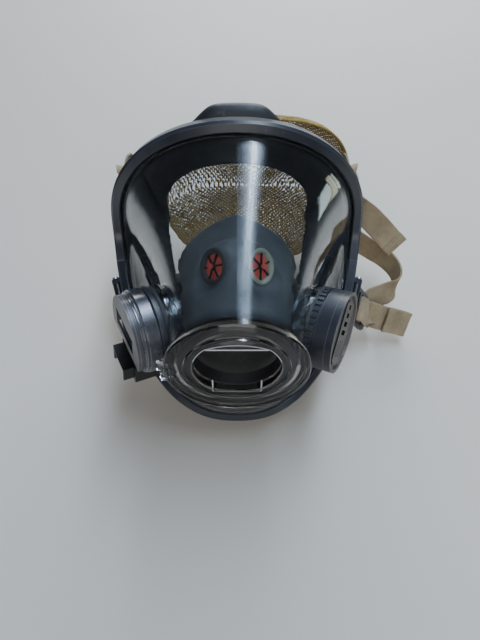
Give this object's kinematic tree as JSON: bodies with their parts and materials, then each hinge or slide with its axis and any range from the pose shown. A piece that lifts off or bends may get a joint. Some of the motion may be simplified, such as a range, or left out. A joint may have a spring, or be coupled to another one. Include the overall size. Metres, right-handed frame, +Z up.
{
  "type": "full face respirator",
  "caption": "Full face breathing mask: wide clear visor with a round regulator port, side voicemitters, split bezel, rubber face seal, nose cup with inhalation valves and a net head harness.",
  "frame": {"origin": "centre of the regulator port's mouth", "axes": "-Y out of the regulator port, +Z up, +X to the wearer's left; the mask leans back as it stands on a table"},
  "size_m": [0.2283, 0.2148, 0.1728],
  "materials": {
    "lens_clear": "clear polycarbonate, polished",
    "bezel_black": "satin moulded nylon",
    "screw_steel": "plated",
    "seal_rubber": "matte moulded rubber",
    "cup_silicone": "matte moulded silicone",
    "ring_black": "moulded",
    "seat_olive": "moulded",
    "seat_dark": "moulded",
    "flap_red": "soft silicone disc",
    "cover_grey": "fine textured moulding",
    "bracket_gloss": "smooth gunmetal black moulding",
    "net_yarn": "open knitted yarn",
    "gasket_rubber": "matte",
    "diaphragm_foil": "thin foil",
    "housing_black": "satin moulded",
    "pin_steel": "drawn",
    "buckle_black": "moulded",
    "webbing_tan": "woven webbing"
  },
  "bodies": {
    "mask": {"amplifier_bracket_plate": "bracket_gloss", "amplifier_bracket_ring": "bracket_gloss", "amplifier_socket": "bracket_gloss", "bezel_nuts": "screw_steel", "bezel_screws": "screw_steel", "face_seal": "seal_rubber", "harness_net": "net_yarn", "inhalation_seat_left": "seat_olive", "inhalation_seat_right": "seat_dark", "lens": "lens_clear", "lower_bezel": "bezel_black", "neck_buckle_pin_left": "pin_steel", "neck_buckle_pin_right": "pin_steel", "neck_strap_left": "webbing_tan", "neck_strap_right": "webbing_tan", "neck_strap_tail_left": "webbing_tan", "neck_strap_tail_right": "webbing_tan", "nose_cup": "cup_silicone", "port_clamp_ring": "ring_black", "temple_buckle_pin_left": "pin_steel", "temple_buckle_pin_right": "pin_steel", "temple_strap_hem_left": "webbing_tan", "temple_strap_left": "webbing_tan", "temple_strap_right": "webbing_tan", "temple_strap_tail_left": "webbing_tan", "temple_strap_tail_right": "webbing_tan", "upper_bezel": "bezel_black", "voicemitter_body_left": "housing_black", "voicemitter_cover_left": "cover_grey", "voicemitter_diaphragm_left": "diaphragm_foil", "voicemitter_diaphragm_right": "diaphragm_foil", "voicemitter_duct_left": "housing_black", "voicemitter_duct_right": "housing_black", "voicemitter_gasket_left": "gasket_rubber", "voicemitter_gasket_right": "gasket_rubber", "voicemitter_ring_left": "housing_black", "voicemitter_ring_right": "housing_black"},
    "temple_buckle_left_body": {"temple_buckle_left": "buckle_black", "temple_strap_loop_left": "webbing_tan"},
    "temple_roller_left_body": {"temple_roller_left": "pin_steel"},
    "temple_buckle_right_body": {"temple_buckle_right": "buckle_black", "temple_strap_loop_right": "webbing_tan"},
    "temple_roller_right_body": {"temple_roller_right": "pin_steel"},
    "neck_buckle_left_body": {"neck_buckle_left": "buckle_black", "neck_strap_loop_left": "webbing_tan"},
    "neck_roller_left_body": {"neck_roller_left": "pin_steel"},
    "neck_buckle_right_body": {"neck_buckle_right": "buckle_black", "neck_strap_loop_right": "webbing_tan"},
    "neck_roller_right_body": {"neck_roller_right": "pin_steel"},
    "inhalation_flap_left_body": {"inhalation_flap_left": "flap_red"},
    "inhalation_flap_right_body": {"inhalation_flap_right": "flap_red"}
  },
  "joints": [
    {"name": "temple_buckle_left_swivel", "type": "hinge", "parent": "mask", "child": "temple_buckle_left_body", "pos_m": [0.0823, 0.14054, 0.01166], "axis": [-0.2509, -0.1774, 0.9516], "range_deg": [-25, 1]},
    {"name": "temple_roller_left_spin", "type": "hinge", "parent": "temple_buckle_left_body", "child": "temple_roller_left_body", "pos_m": [0.07989, 0.15719, 0.01413], "axis": [-0.2509, -0.1774, 0.9516], "continuous": true},
    {"name": "temple_buckle_right_swivel", "type": "hinge", "parent": "mask", "child": "temple_buckle_right_body", "pos_m": [-0.0823, 0.14054, 0.01166], "axis": [0.2509, -0.1774, 0.9516], "range_deg": [-1, 25]},
    {"name": "temple_roller_right_spin", "type": "hinge", "parent": "temple_buckle_right_body", "child": "temple_roller_right_body", "pos_m": [-0.07989, 0.15719, 0.01413], "axis": [0.2509, -0.1774, 0.9516], "continuous": true},
    {"name": "neck_buckle_left_swivel", "type": "hinge", "parent": "mask", "child": "neck_buckle_left_body", "pos_m": [0.08305, 0.08569, -0.03933], "axis": [0.2785, 0.8487, 0.4496], "range_deg": [-3, 15]},
    {"name": "neck_roller_left_spin", "type": "hinge", "parent": "neck_buckle_left_body", "child": "neck_roller_left_body", "pos_m": [0.09143, 0.09037, -0.05336], "axis": [0.2785, 0.8487, 0.4496], "continuous": true},
    {"name": "neck_buckle_right_swivel", "type": "hinge", "parent": "mask", "child": "neck_buckle_right_body", "pos_m": [-0.08305, 0.08569, -0.03933], "axis": [-0.2785, 0.8487, 0.4496], "range_deg": [-15, 20]},
    {"name": "neck_roller_right_spin", "type": "hinge", "parent": "neck_buckle_right_body", "child": "neck_roller_right_body", "pos_m": [-0.08359, 0.09351, -0.05442], "axis": [-0.2785, 0.8487, 0.4496], "continuous": true},
    {"name": "inhalation_flap_left_lift", "type": "slide", "parent": "mask", "child": "inhalation_flap_left_body", "axis": [-0.7187, 0.4392, -0.539], "range_m": [0, 0.0006], "stiffness_N_per_m": 20},
    {"name": "inhalation_flap_right_lift", "type": "slide", "parent": "mask", "child": "inhalation_flap_right_body", "axis": [0.7187, 0.4392, -0.539], "range_m": [0, 0.0006], "stiffness_N_per_m": 20}
  ]
}
